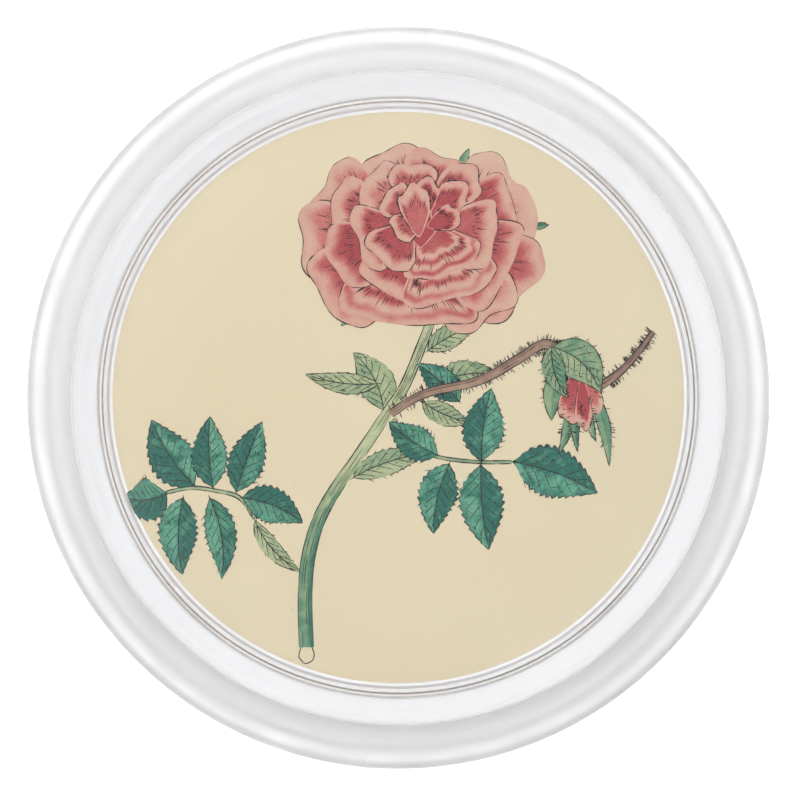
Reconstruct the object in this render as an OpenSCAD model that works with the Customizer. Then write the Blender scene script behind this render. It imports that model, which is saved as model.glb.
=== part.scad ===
// Clear glass powder jar with a dished, picture-backed glass lid and a velour puff.
// Millimetres, +Z up. The origin is on the resting plane, on the jar's axis.
// +Y is the top of the picture in the lid.

/* [Jar] */
// Outside diameter over the rolled rim
jar_d = 114; // [112:1:120]
// Outside diameter of the side wall, just under the rim
side_d = 110; // [106:1:111]
// Height of the ledge that carries the lid, above the resting plane
ledge_z = 63.4; // [55:0.1:80]
// Thickness of the solid glass base
base_t = 8; // [6:0.5:12]
// Radius of the fillet round the inside of the floor
floor_fillet = 6; // [3:0.5:8]
// Diameter of the mouth, inside the ledge
mouth_d = 95.5; // [95:0.1:97]
// Draft of the side wall and of the cavity, base to rim, on the radius
draft = 1.4; // [0.5:0.1:3]

/* [Feet] */
// Diameter of a bumper
pad_d = 10; // [8:0.5:12]
// Height of a bumper
pad_h = 1.6; // [1.2:0.1:2.5]
// Radius of the circle on which the bumpers stand
pad_ring_r = 38; // [30:1:42]

/* [Lid] */
// Diameter of the lid
lid_d = 99.8; // [99:0.1:100.2]
// Thickness of the lid at its raised rim
lid_t = 7; // [5:0.5:10]
// Depth of the dished centre below the raised rim
dish_depth = 1.8; // [1:0.1:2.5]
// Diameter of the flat dished centre
dish_d = 87.8; // [80:0.1:88]
// Diameter of the boss that plugs the mouth
boss_d = 92.4; // [92:0.1:93]
// Height of the boss under the lid
boss_h = 2.6; // [2:0.1:4]
// Rounding of the lid's upper outside edge
lid_edge_r = 1.8; // [1:0.1:2.5]

/* [Picture and its backing] */
// Diameter of the printed sheet
print_d = 91.5; // [88:0.1:92]
// Thickness of the printed sheet
print_t = 0.25; // [0.2:0.05:0.4]
// Thickness of the stiff card behind the print
card_t = 1.2; // [1:0.1:2]
// Thickness of the flocked lining that faces the powder
lining_t = 1.0; // [0.8:0.1:2]

/* [Seal] */
// Thickness of the seal's flange, between lid and ledge
seal_flange_t = 0.8; // [0.6:0.1:1.2]
// Outside diameter of the seal's skirt, in the mouth
seal_skirt_d = 94.9; // [94.5:0.1:95]
// Depth of the seal's skirt below the ledge
seal_skirt_h = 1.6; // [1:0.1:3]

/* [Puff] */
// Diameter of the puff
puff_d = 74; // [64:1:76]
// Height of the velour part
pile_h = 9; // [8:0.5:14]
// Thickness of the velour's pile and backing
pile_t = 3; // [2:0.5:4]
// Crown of the foam core above the velour
crown_h = 5; // [3:0.5:6]
// Thickness of the satin cover
cover_t = 0.8; // [0.6:0.1:1]
// Diameter of the piping's cord
piping_d = 2.6; // [2:0.1:3]
// Width of the ribbon band
ribbon_w = 16; // [12:1:20]
// Thickness of the ribbon band
ribbon_t = 0.7; // [0.6:0.1:1]
// Rise of the ribbon's arch, end to top
ribbon_rise = 12; // [11:0.5:14]

/* [Hidden] */
$fn = 96;

arc_steps = 8;          // chords in a quarter turn of a profile
lie = 0.02;             // gap between pieces of two bodies that rest on each other

// Radius of the sphere, or of the arc, that makes a cap of half-width r and height h.
function cap_radius(r, h) = (r * r + h * h) / (2 * h);

// Jar
jar_r = jar_d / 2;
side_r = side_d / 2;
mouth_r = mouth_d / 2;
base_z = pad_h;
floor_z = base_z + base_t;
lid_gap = 0.45;                        // all round, so that the lid drops in freely
gallery_r = lid_d / 2 + lid_gap;       // wall that stands round the lid
bead_r = (jar_r - gallery_r) / 2;      // radius of the rolled rim
bead_x = jar_r - bead_r;
bead_z = ledge_z + 0.9;                // the rolled rim stands a little proud of the lid's edge
foot_corner = 7;
foot_r = side_r - draft;
mouth_land = 5;                        // straight depth of the mouth below the ledge
cavity_draft = 1.6;                    // the cavity draws in faster than the outside
cavity_r = mouth_r - cavity_draft * draft;
cove_r = 1.5;                          // cove between side wall and rim
ledge_break = 0.5;
pad_count = 4;
pad_round = 0.9;

// Lid
lid_r = lid_d / 2;
flange_z = ledge_z + lie + seal_flange_t + lie;
top_z = flange_z + lid_t;
dish_z = top_z - dish_depth;
dish_r = dish_d / 2;
dish_fillet = 1.2;                     // hollow fillet round the dish
dish_lip = 0.3;                        // rounding where the dish meets the rim
boss_r = boss_d / 2;
boss_z = flange_z - boss_h;
edge_break = 0.4;
seal_play = 0.05;                      // the lid turns in the seal with this play on the radius

// Backing
print_z = boss_z - print_t;
card_z = print_z - card_t;
lining_z = card_z - lining_t;
card_in = 0.15;                        // each layer is this much smaller than the one above

// Puff
puff_z = floor_z + lie;
puff_r = puff_d / 2;
puff_corner = 5.5;
pile_lip = 1;                          // rounding of the velour's upper edge
seam_z = puff_z + pile_h;
pocket_r = puff_r - pile_t;
core_r = pocket_r - 0.05;
piping_r = piping_d / 2;
piping_x = puff_r - piping_r - 0.2;
cover_rim_r = piping_x - piping_r - 0.1;
cover_z = seam_z + lie;
cover_top = crown_h + cover_t;
cap_steps = 14;
ribbon_half = cover_rim_r - 1.6;       // half the ribbon's span
ribbon_end_z = seam_z + 0.6;           // just clear of the cover's edge
ribbon_r = cap_radius(ribbon_half, ribbon_rise);

// Points of an arc of radius r round [x, z], from angle a to angle b.
function arc(x, z, r, a, b, steps = arc_steps) =
    [for (i = [0 : steps]) let (t = a + (b - a) * i / steps) [x + r * cos(t), z + r * sin(t)]];

// Points of a cap's outline from its rim at [r, z] to its top at [0, z + h].
function cap(r, z, h) =
    let (big = cap_radius(r, h))
    [for (i = [0 : cap_steps]) let (x = r * (1 - i / cap_steps))
        [x, z + h - big + sqrt(big * big - x * x)]];

// The same points in the other order.
function turned(points) = [for (i = [len(points) - 1 : -1 : 0]) points[i]];

// A cove of radius cove_r touches the side wall and the rolled rim.
cove_x = side_r + cove_r;
cove_drop = sqrt(pow(bead_r + cove_r, 2) - pow(cove_x - bead_x, 2));
cove_z = bead_z - cove_drop;
cove_turn = atan2(cove_drop, cove_x - bead_x);

module spin(points) {
    rotate_extrude() polygon(points);
}

module jar_glass() {
    color([0.93, 0.95, 0.95, 0.4])
    spin(concat(
        [[0, base_z], [foot_r - foot_corner, base_z]],
        arc(foot_r - foot_corner, base_z + foot_corner, foot_corner, -90, -2),
        arc(cove_x, cove_z, cove_r, 180, 180 - cove_turn),
        arc(bead_x, bead_z, bead_r, -cove_turn, 180, 2 * arc_steps),
        [[gallery_r, ledge_z]],
        arc(mouth_r + ledge_break, ledge_z - ledge_break, ledge_break, 90, 180, 4),
        [[mouth_r, ledge_z - mouth_land]],
        arc(cavity_r - floor_fillet, floor_z + floor_fillet, floor_fillet, 2, -90),
        [[0, floor_z]]
    ));
}

module foot_pad(i) {
    color([0.95, 0.95, 0.95, 0.6])
    rotate([0, 0, 45 + 360 / pad_count * (i - 1)])
    translate([pad_ring_r, 0, 0])
    spin(concat(
        [[0, 0], [pad_d / 2 - pad_round, 0]],
        arc(pad_d / 2 - pad_round, pad_round, pad_round, -90, 0, 5),
        [[pad_d / 2, pad_h], [0, pad_h]]
    ));
}

module lid_glass() {
    wall_r = dish_r + dish_fillet;
    lip_x = wall_r + dish_lip;
    color([0.93, 0.95, 0.95, 0.4])
    spin(concat(
        [[0, boss_z], [boss_r - edge_break, boss_z], [boss_r, boss_z + edge_break],
         [boss_r, flange_z], [lid_r - edge_break, flange_z], [lid_r, flange_z + edge_break]],
        arc(lid_r - lid_edge_r, top_z - lid_edge_r, lid_edge_r, 0, 90),
        arc(lip_x, top_z - dish_lip, dish_lip, 90, 180, 4),
        arc(dish_r, dish_z + dish_fillet, dish_fillet, 0, -90),
        [[0, dish_z]]
    ));
}

module lid_seal() {
    inner_r = boss_r + seal_play;
    flange_r = lid_r - 0.3;
    skirt_r = seal_skirt_d / 2;
    seal_z = ledge_z + lie;
    skirt_z = seal_z - seal_skirt_h;
    color([0.93, 0.93, 0.92, 0.8])
    spin([
        [inner_r, skirt_z], [skirt_r - edge_break, skirt_z], [skirt_r, skirt_z + edge_break],
        [skirt_r, seal_z], [flange_r, seal_z],
        [flange_r, seal_z + seal_flange_t], [inner_r, seal_z + seal_flange_t]
    ]);
}

// A flat round layer of radius r and thickness t that starts at height z.
module layer(r, z, t) {
    translate([0, 0, z]) cylinder(r = r, h = t);
}

module print_sheet() {
    color("wheat") layer(print_d / 2, print_z, print_t);
}

module backing_card() {
    color("ivory") layer(print_d / 2 - card_in, card_z, card_t);
}

module lid_lining() {
    color("linen") layer(print_d / 2 - 2 * card_in, lining_z, lining_t);
}

module puff_pile() {
    color("floralwhite")
    spin(concat(
        [[0, puff_z], [puff_r - puff_corner, puff_z]],
        arc(puff_r - puff_corner, puff_z + puff_corner, puff_corner, -90, 0),
        arc(puff_r - pile_lip, seam_z - pile_lip, pile_lip, 0, 90, 4),
        [[pocket_r, seam_z], [pocket_r, puff_z + pile_t], [0, puff_z + pile_t]]
    ));
}

module puff_core() {
    color("lemonchiffon")
    spin(concat(
        [[0, puff_z + pile_t], [core_r, puff_z + pile_t]],
        cap(core_r, seam_z, crown_h)
    ));
}

module puff_cover() {
    color("mistyrose")
    spin(concat(
        cap(core_r, cover_z, crown_h),
        turned(cap(cover_rim_r, cover_z, cover_top))
    ));
}

module puff_piping() {
    color("rosybrown")
    translate([0, 0, seam_z + piping_r])
    rotate_extrude() translate([piping_x, 0]) circle(r = piping_r, $fn = 24);
}

module puff_ribbon() {
    centre_z = ribbon_end_z + ribbon_rise - ribbon_r;
    color("pink")
    intersection() {
        translate([0, 0, centre_z]) rotate([90, 0, 0]) difference() {
            cylinder(r = ribbon_r + ribbon_t, h = ribbon_w, center = true);
            cylinder(r = ribbon_r, h = 2 * ribbon_w, center = true);
        }
        translate([-ribbon_half, -ribbon_w, ribbon_end_z - ribbon_t])
            cube([2 * ribbon_half, 2 * ribbon_w, 2 * ribbon_rise]);
    }
}

jar_glass();
foot_pad(1);  // foot_pad_1
foot_pad(2);  // foot_pad_2
foot_pad(3);  // foot_pad_3
foot_pad(4);  // foot_pad_4
lid_glass();
lid_seal();
print_sheet();
backing_card();
lid_lining();
puff_pile();
puff_core();
puff_cover();
puff_piping();
puff_ribbon();
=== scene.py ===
"""Powder jar: glass jar, glass lid with a rose print behind it, soft seal, bumper feet and a puff.

Sizes are in metres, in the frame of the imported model: the origin is on the resting plane, on the
jar's axis, +Z is up and +Y is the top of the picture in the lid. The drawing on the print is in
millimetres from the jar's axis.
"""
import logging
import math
import random
from collections.abc import Callable, Sequence
from dataclasses import dataclass, field
from enum import Enum

import bmesh
import bpy
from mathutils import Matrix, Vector


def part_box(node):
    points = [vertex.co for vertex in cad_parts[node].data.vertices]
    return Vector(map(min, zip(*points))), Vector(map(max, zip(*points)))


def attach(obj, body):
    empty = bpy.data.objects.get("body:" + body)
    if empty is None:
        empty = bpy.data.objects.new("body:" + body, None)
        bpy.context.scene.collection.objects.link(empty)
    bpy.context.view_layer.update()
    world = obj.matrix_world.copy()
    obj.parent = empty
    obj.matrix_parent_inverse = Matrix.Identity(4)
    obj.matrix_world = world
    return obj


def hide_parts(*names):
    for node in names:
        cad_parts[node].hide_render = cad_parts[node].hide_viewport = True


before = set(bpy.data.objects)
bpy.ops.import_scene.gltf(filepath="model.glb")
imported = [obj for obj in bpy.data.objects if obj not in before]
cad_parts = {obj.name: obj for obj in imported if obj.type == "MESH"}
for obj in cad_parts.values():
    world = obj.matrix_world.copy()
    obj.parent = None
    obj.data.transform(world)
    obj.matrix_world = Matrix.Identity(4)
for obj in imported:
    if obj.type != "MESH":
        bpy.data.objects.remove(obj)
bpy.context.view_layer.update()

LOG = logging.getLogger("powder_jar")

MM = 0.001
FULL_TURN = 2 * math.pi

Point = tuple[float, float]
Point3 = tuple[float, float, float]
Colour = tuple[float, float, float]


# ---------------------------------------------------------------- shapes

def arc(centre: Point, radius: float, start: float, end: float, steps: int = 12) -> list[Point]:
    """Points of a circular arc.

    Args:
        centre: Centre of the circle.
        radius: Its radius.
        start: Angle of the first point, in degrees.
        end: Angle of the last point, in degrees.
        steps: Number of chords.

    Returns:
        steps + 1 points.
    """
    turns = [math.radians(start + (end - start) * i / steps) for i in range(steps + 1)]
    return [(centre[0] + radius * math.cos(t), centre[1] + radius * math.sin(t)) for t in turns]


def smooth_step(low: float, high: float, x: float) -> float:
    """0 up to low, 1 from high on, and an S-shaped rise between them."""
    t = min(max((x - low) / (high - low), 0.0), 1.0)
    return t * t * (3 - 2 * t)


def part_way(a: Point, b: Point, share: float) -> Point:
    """The point that lies share of the way from a to b."""
    return a[0] + (b[0] - a[0]) * share, a[1] + (b[1] - a[1]) * share


def at_height(a: Point, b: Point, height: float) -> Point:
    """The point at height on the line through a and b."""
    return a[0] + (b[0] - a[0]) * (height - a[1]) / (b[1] - a[1]), height


def curve_through(points: Sequence[Point], steps: int = 8) -> list[Point]:
    """A smooth curve through points, in the plane.

    Args:
        points: Points that the curve passes through, in order.
        steps: Number of chords between two of them.

    Returns:
        The curve's points.
    """
    ends = [points[0], *points, points[-1]]
    curve = []
    for a, b, c, d in zip(ends, ends[1:], ends[2:], ends[3:]):
        for i in range(steps):
            t = i / steps
            curve.append(tuple(
                0.5 * (2 * b[k] + (c[k] - a[k]) * t + (2 * a[k] - 5 * b[k] + 4 * c[k] - d[k]) * t * t
                       + (3 * b[k] - a[k] - 3 * c[k] + d[k]) * t ** 3)
                for k in (0, 1)))
    return [*curve, tuple(points[-1])]


class Mesh:
    """Points, faces and numbers per point, gathered until they become one object."""

    def __init__(self) -> None:
        """Starts empty."""
        self.points: list[Point3] = []
        self.faces: list[tuple[int, ...]] = []
        self.marks: dict[str, list[float]] = {}

    def point(self, x: float, y: float, z: float, **marks: float) -> int:
        """Adds a point.

        Args:
            x: Its place, and so are y and z.
            y: See x.
            z: See x.
            **marks: Numbers that the point carries for the material, by name.

        Returns:
            The point's index.
        """
        self.points.append((x, y, z))
        for name, value in marks.items():
            self.marks.setdefault(name, []).append(value)
        return len(self.points) - 1

    def grid(self, rows: Sequence[Sequence[int]], joined: bool = False) -> None:
        """Fills the squares between rows of points.

        Args:
            rows: Rows of point indices, all of one length or a single point.
            joined: Whether each row's last point meets its first.
        """
        for low, high in zip(rows, rows[1:]):
            count = max(len(low), len(high))
            for i in range(count if joined else count - 1):
                k = (i + 1) % count
                corners = (low[i % len(low)], low[k % len(low)], high[k % len(high)], high[i % len(high)])
                self.faces.append(tuple(dict.fromkeys(corners)))

    def made(self, name: str, closed: bool = True, crease: float = 35.0) -> bpy.types.Object:
        """Turns what was gathered into an object.

        Args:
            name: The object's name.
            closed: Whether the mesh is closed, so that its faces are turned outwards.
            crease: Angle in degrees above which an edge stays sharp.

        Returns:
            The object, linked to the scene.
        """
        mesh = bpy.data.meshes.new(name)
        mesh.from_pydata(self.points, [], self.faces)
        for mark, values in self.marks.items():
            mesh.attributes.new(mark, "FLOAT", "POINT").data.foreach_set("value", values)
        if closed:
            work = bmesh.new()
            work.from_mesh(mesh)
            bmesh.ops.recalc_face_normals(work, faces=work.faces)
            work.to_mesh(mesh)
            work.free()
        mesh.shade_smooth()
        mesh.set_sharp_from_angle(angle=math.radians(crease))
        made = bpy.data.objects.new(name, mesh)
        bpy.context.scene.collection.objects.link(made)
        return made


def even_turns(count: int) -> list[float]:
    """count angles, evenly spread over a full turn."""
    return [FULL_TURN * i / count for i in range(count)]


def turned(profile: Sequence[Point], turns: Sequence[float], ring: bool = False,
           swell: Callable[[float, int], float] | None = None,
           ground: Callable[[Point], float] | None = None) -> Mesh:
    """A profile turned about the jar's axis.

    Args:
        profile: Points (radius, height). It starts and ends on the axis, unless it is a ring.
        turns: Angles at which the profile is repeated.
        ring: Whether the profile is a closed loop clear of the axis.
        swell: Gives how far a point moves along the profile's normal, from its angle and its
            place in the profile.
        ground: Gives a glass's roughness at a point of the profile.

    Returns:
        The closed mesh.
    """
    mesh = Mesh()
    rows = []
    last = len(profile) - 1
    for k, (r, z) in enumerate(profile):
        marks = {"ground": ground((r, z))} if ground else {}
        if r < 1e-9 and not ring:
            rows.append([mesh.point(0, 0, z, **marks)])
            continue
        before = profile[k - 1] if ring else profile[max(k - 1, 0)]
        after = profile[(k + 1) % len(profile)] if ring else profile[min(k + 1, last)]
        run = Vector((after[0] - before[0], after[1] - before[1])).normalized()
        row = []
        for turn in turns:
            out = swell(turn, k) if swell else 0.0
            radius, height = r + run.y * out, z - run.x * out
            row.append(mesh.point(radius * math.cos(turn), radius * math.sin(turn), height, **marks))
        rows.append(row)
    mesh.grid([*rows, rows[0]] if ring else rows, joined=True)
    return mesh


def place(piece: bpy.types.Object, material: bpy.types.Material, body: str,
          stands_for: Sequence[str] = ()) -> bpy.types.Object:
    """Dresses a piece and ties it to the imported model.

    Args:
        piece: The object.
        material: Its finish.
        body: The body that it moves with.
        stands_for: CAD nodes that it replaces.

    Returns:
        The piece.
    """
    piece.data.materials.clear()
    piece.data.materials.append(material)
    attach(piece, body)
    if stands_for:
        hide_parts(*stands_for)
    LOG.info("%s: %d faces, rides on %s", piece.name, len(piece.data.polygons), body)
    return piece


# ---------------------------------------------------------------- shader maths

class Value:
    """A socket of a node tree. Arithmetic on it adds Math nodes."""

    def __init__(self, bench: "Bench", socket: bpy.types.NodeSocket) -> None:
        """Wraps socket, which belongs to bench's tree."""
        self.bench = bench
        self.socket = socket

    def _math(self, operation: str, first: "Amount", second: "Amount") -> "Value":
        """A Math node of that operation on two values."""
        return self.bench.node("ShaderNodeMath", {"operation": operation}, {0: first, 1: second})

    def __add__(self, other: "Amount") -> "Value":
        """self + other."""
        return self._math("ADD", self, other)

    def __radd__(self, other: "Amount") -> "Value":
        """other + self."""
        return self._math("ADD", other, self)

    def __sub__(self, other: "Amount") -> "Value":
        """self - other."""
        return self._math("SUBTRACT", self, other)

    def __rsub__(self, other: "Amount") -> "Value":
        """other - self."""
        return self._math("SUBTRACT", other, self)

    def __mul__(self, other: "Amount") -> "Value":
        """self * other."""
        return self._math("MULTIPLY", self, other)

    def __rmul__(self, other: "Amount") -> "Value":
        """other * self."""
        return self._math("MULTIPLY", other, self)

    def between(self, low: float, high: float) -> "Value":
        """0 where this is at most low, 1 where it is at least high, and a smooth rise between."""
        settings = {"interpolation_type": "SMOOTHSTEP"}
        return self.bench.node("ShaderNodeMapRange", settings, {0: self, 1: low, 2: high})


Amount = float | Value


class Bench:
    """A node tree on which a finish is made."""

    def __init__(self, tree: bpy.types.NodeTree) -> None:
        """Empties tree and takes it over."""
        self.tree = tree
        self.tree.nodes.clear()

    def node(self, kind: str, settings: dict[str, object] | None = None,
             values: dict[int | str, object] | None = None, out: int | str = 0) -> Value:
        """Adds a node.

        Args:
            kind: The node's type.
            settings: Its settings, which are set first. "stops" holds a ramp's (place, colour) pairs.
            values: Its sockets' values or links, by index or name.
            out: Index or name of the output that is wanted.

        Returns:
            That output.
        """
        made = self.tree.nodes.new(kind)
        for name, setting in (settings or {}).items():
            if name == "stops":
                ramp = made.color_ramp.elements
                while len(ramp) < len(setting):
                    ramp.new(1.0)
                for stop, (at, colour) in zip(ramp, setting):
                    stop.position = at
                    stop.color = (*colour, 1.0)
            else:
                setattr(made, name, setting)
        for name, value in (values or {}).items():
            if isinstance(value, Value):
                self.tree.links.new(value.socket, made.inputs[name])
            elif isinstance(value, tuple) and made.inputs[name].type == "RGBA":
                made.inputs[name].default_value = (*value, 1.0)
            else:
                made.inputs[name].default_value = value
        return Value(self, made.outputs[out])

    def close(self, kind: str, surface: Value) -> None:
        """Adds the output node of that type and links surface to it."""
        self.tree.links.new(surface.socket, self.tree.nodes.new(kind).inputs["Surface"])

    def where(self, stretch: Point3 = (1.0, 1.0, 1.0)) -> Value:
        """The surface's own coordinates, in metres, times stretch."""
        where = self.node("ShaderNodeTexCoord", out="Object")
        return self.node("ShaderNodeVectorMath", {"operation": "MULTIPLY"}, {0: where, 1: stretch})

    def mark(self, name: str) -> Value:
        """A number that the mesh's points carry."""
        return self.node("ShaderNodeAttribute", {"attribute_name": name}, out="Fac")

    def grain(self, size: float, detail: float = 3.0, stretch: Point3 = (1.0, 1.0, 1.0),
              twist: float = 0.0) -> Value:
        """Noise between 0 and 1.

        Args:
            size: Rough size of its lumps, in metres.
            detail: How many finer layers it has.
            stretch: How much finer it is along each axis.
            twist: How much the noise distorts itself.

        Returns:
            The noise.
        """
        values = {"Vector": self.where(stretch), "Scale": 1 / size, "Detail": detail, "Distortion": twist}
        return self.node("ShaderNodeTexNoise", {}, values)

    def mix(self, first: "Colour | Value", second: "Colour | Value", share: Amount) -> Value:
        """First colour where share is 0, second where it is 1."""
        return self.node("ShaderNodeMix", {"data_type": "RGBA"}, {0: share, 6: first, 7: second}, out=2)

    def bump(self, height: Value, depth: float) -> Value:
        """A normal bent by height, which counts depth metres from 0 to 1."""
        return self.node("ShaderNodeBump", {}, {"Strength": 1.0, "Distance": depth, "Height": height})

    def along(self, way: Value, axis: Point3) -> Value:
        """How far way reaches along axis."""
        settings = {"operation": "DOT_PRODUCT"}
        return self.node("ShaderNodeVectorMath", settings, {0: way, 1: axis}, out="Value")


def toned(colour: Colour, factor: float) -> Colour:
    """colour, made lighter or darker by factor."""
    return tuple(min(c * factor, 1.0) for c in colour)


class Finish:
    """A surface finish: a material with one Principled shader."""

    name: str

    def look(self, bench: Bench) -> dict[str, object]:
        """What the shader gets. Each finish says its own.

        Args:
            bench: The node tree that it is made on.

        Returns:
            Socket values and links, by socket name.
        """
        raise NotImplementedError

    def material(self) -> bpy.types.Material:
        """Makes the material.

        Returns:
            The finish as a material.
        """
        material = bpy.data.materials.new(self.name)
        material.use_nodes = True
        bench = Bench(material.node_tree)
        shader = bench.node("ShaderNodeBsdfPrincipled", {}, self.look(bench))
        bench.close("ShaderNodeOutputMaterial", shader)
        return material


# ---------------------------------------------------------------- finishes

@dataclass(frozen=True)
class ClearGlass(Finish):
    """Pressed glass with a faint waviness from its mould: polished, and satin where it is ground.

    The mesh's points carry "ground", the roughness that the grinding left there. The satin is uneven
    only where it is strong, so that it fades evenly into the polished glass.
    """

    name: str
    tint: Colour = (0.995, 0.997, 0.997)
    polish: float = 0.012
    uneven: float = 0.9
    patch: float = 5 * MM
    even_up_to: float = 0.28
    uneven_from: float = 0.34
    wave: float = 9 * MM
    wave_depth: float = 0.004 * MM

    def look(self, bench: Bench) -> dict[str, object]:
        """What the shader gets.

        Args:
            bench: The node tree that it is made on.

        Returns:
            Socket values and links, by socket name.
        """
        ground = bench.mark("ground")
        strong = ground.between(self.even_up_to, self.uneven_from)
        uneven = self.uneven * (bench.grain(self.patch, 3.0) - 0.5) * strong
        return {
            "Base Color": self.tint,
            "Roughness": self.polish + ground * (1.0 + uneven),
            "IOR": 1.5,
            "Transmission Weight": 1.0,
            "Normal": bench.bump(bench.grain(self.wave, 1.0), self.wave_depth),
        }


@dataclass(frozen=True)
class Silicone(Finish):
    """Cast silicone rubber: cloudy all through, with a soft surface."""

    name: str
    colour: Colour
    clear: float = 0.0
    scatter: float = 2 * MM

    def look(self, bench: Bench) -> dict[str, object]:
        """What the shader gets.

        Args:
            bench: The node tree that it is made on.

        Returns:
            Socket values and links, by socket name.
        """
        cloud = bench.grain(3 * MM, 2.0)
        return {
            "Base Color": bench.mix(self.colour, toned(self.colour, 1.04), cloud),
            "Roughness": 0.3 + 0.12 * bench.grain(1.5 * MM),
            "IOR": 1.42,
            "Transmission Weight": self.clear,
            "Subsurface Weight": 0.35,
            "Subsurface Radius": (self.scatter, self.scatter, self.scatter),
            "Normal": bench.bump(bench.grain(0.4 * MM, 2.0), 0.01 * MM),
        }


@dataclass(frozen=True)
class Paper(Finish):
    """Aged cream paper: broad stains, a soft mottle, fibres and a few specks."""

    name: str = "cream_paper"
    cream: Colour = (0.785, 0.69, 0.49)
    beige: Colour = (0.755, 0.645, 0.445)
    speck: Colour = (0.45, 0.33, 0.22)

    def look(self, bench: Bench) -> dict[str, object]:
        """What the shader gets.

        Args:
            bench: The node tree that it is made on.

        Returns:
            Socket values and links, by socket name.
        """
        stain = bench.grain(38 * MM, 2.0, twist=0.6).between(0.3, 0.75)
        mottle = bench.grain(1.6 * MM, 4.0)
        fibre = bench.grain(0.25 * MM, 3.0, (1.0, 4.0, 1.0))
        dots = bench.grain(0.7 * MM, 1.0).between(0.80, 0.86)
        ground = bench.mix(self.cream, self.beige, 0.75 * stain + 0.25 * mottle)
        paler = bench.mix(ground, toned(self.cream, 1.06), 0.5 * fibre)
        return {
            "Base Color": bench.mix(paler, self.speck, 0.4 * dots),
            "Roughness": 0.75 + 0.15 * mottle,
            "Specular IOR Level": 0.3,
            "Normal": bench.bump(fibre + mottle, 0.012 * MM),
        }


@dataclass(frozen=True)
class Wash(Finish):
    """Watercolour over an engraving, in tones of one colour, deeper where the paint pooled.

    The mesh's points carry "depth", 0 where the wash is thin and 1 where it is full.
    """

    name: str
    tones: tuple[Colour, ...]
    uneven: float = 0.6
    pool: float = 2.0 * MM

    def look(self, bench: Bench) -> dict[str, object]:
        """What the shader gets.

        Args:
            bench: The node tree that it is made on.

        Returns:
            Socket values and links, by socket name.
        """
        pools = bench.grain(self.pool, 4.0, twist=0.5)
        tooth = bench.grain(0.3 * MM, 2.0)
        depth = bench.mark("depth") + self.uneven * (pools - 0.5) + 0.35 * (tooth - 0.5)
        last = len(self.tones) - 1
        stops = [(k / last, tone) for k, tone in enumerate(self.tones)]
        return {
            "Base Color": bench.node("ShaderNodeValToRGB", {"stops": stops}, {0: depth}),
            "Roughness": 0.8 + 0.1 * tooth,
            "Specular IOR Level": 0.3,
            "Normal": bench.bump(tooth, 0.01 * MM),
        }


@dataclass(frozen=True)
class Ink(Finish):
    """Printed line: a dark ink that is thinner in places."""

    name: str = "engraving_ink"
    dark: Colour = (0.032, 0.026, 0.026)
    thin: Colour = (0.10, 0.075, 0.07)

    def look(self, bench: Bench) -> dict[str, object]:
        """What the shader gets.

        Args:
            bench: The node tree that it is made on.

        Returns:
            Socket values and links, by socket name.
        """
        return {
            "Base Color": bench.mix(self.dark, self.thin, bench.grain(0.5 * MM).between(0.45, 0.75)),
            "Roughness": 0.75 + 0.1 * bench.grain(0.3 * MM),
            "Specular IOR Level": 0.3,
        }


@dataclass(frozen=True)
class Board(Finish):
    """Pressed grey-cream board, with fibres of two lengths."""

    name: str = "backing_board"
    colour: Colour = (0.82, 0.79, 0.72)
    fleck: Colour = (0.62, 0.57, 0.50)

    def look(self, bench: Bench) -> dict[str, object]:
        """What the shader gets.

        Args:
            bench: The node tree that it is made on.

        Returns:
            Socket values and links, by socket name.
        """
        fibre = bench.grain(0.5 * MM, 4.0, (1.0, 1.0, 3.0))
        flecks = bench.grain(0.8 * MM, 2.0).between(0.62, 0.72)
        return {
            "Base Color": bench.mix(self.colour, self.fleck, 0.5 * flecks + 0.25 * fibre),
            "Roughness": 0.85 + 0.1 * fibre,
            "Normal": bench.bump(fibre, 0.03 * MM),
        }


@dataclass(frozen=True)
class Pile(Finish):
    """Short dense pile that lies this way and that, with painted sheen and painted shade in its lighter and
    darker patches.
    """

    name: str
    # light is the lit colour and shade the shaded colour of the pile: painted sheen and painted shade.
    light: Colour
    shade: Colour
    patch: float = 9 * MM
    tuft: float = 0.35 * MM

    def look(self, bench: Bench) -> dict[str, object]:
        """What the shader gets.

        Args:
            bench: The node tree that it is made on.

        Returns:
            Socket values and links, by socket name.
        """
        brushed_sheen = bench.grain(self.patch, 2.0, twist=1.0)
        tufts = bench.grain(self.tuft, 2.0)
        return {
            # Painted sheen and shade in patches where the pile lies different ways, with a random mottle of
            # tufts.
            "Base Color": bench.mix(self.shade, self.light, 0.6 * brushed_sheen + 0.4 * tufts),
            "Roughness": 0.8 + 0.15 * tufts,
            "Sheen Weight": 0.45,
            "Sheen Roughness": 0.45,
            "Specular IOR Level": 0.2,
            "Normal": bench.bump(tufts, 0.12 * MM),
        }


class Weave(Enum):
    """Which way the long threads of a satin run."""

    ALONG_X = (0.12, 1.0, 1.0)
    ALL_ROUND = (1.0, 1.0, 1.0)


@dataclass(frozen=True)
class Satin(Finish):
    """Satin: fine long threads with painted sheen and shade streaked along them, a soft gloss along them
    and slight unevenness in the dye.
    """

    name: str
    # light is the lit colour and shade the shaded colour of the satin: painted sheen and painted shade.
    light: Colour
    shade: Colour
    weave: Weave
    thread: float = 0.11 * MM

    def look(self, bench: Bench) -> dict[str, object]:
        """What the shader gets.

        Args:
            bench: The node tree that it is made on.

        Returns:
            Socket values and links, by socket name.
        """
        threads = bench.grain(self.thread, 2.0, self.weave.value)
        dye = bench.grain(6 * MM, 2.0)
        return {
            # Streaks along the threads are painted sheen and shade; the broad patches are uneven dye.
            "Base Color": bench.mix(self.shade, self.light, 0.55 * threads + 0.45 * dye),
            "Roughness": 0.3 + 0.18 * threads,
            "Sheen Weight": 0.35,
            "Sheen Roughness": 0.3,
            "Normal": bench.bump(threads, 0.02 * MM),
        }


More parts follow.
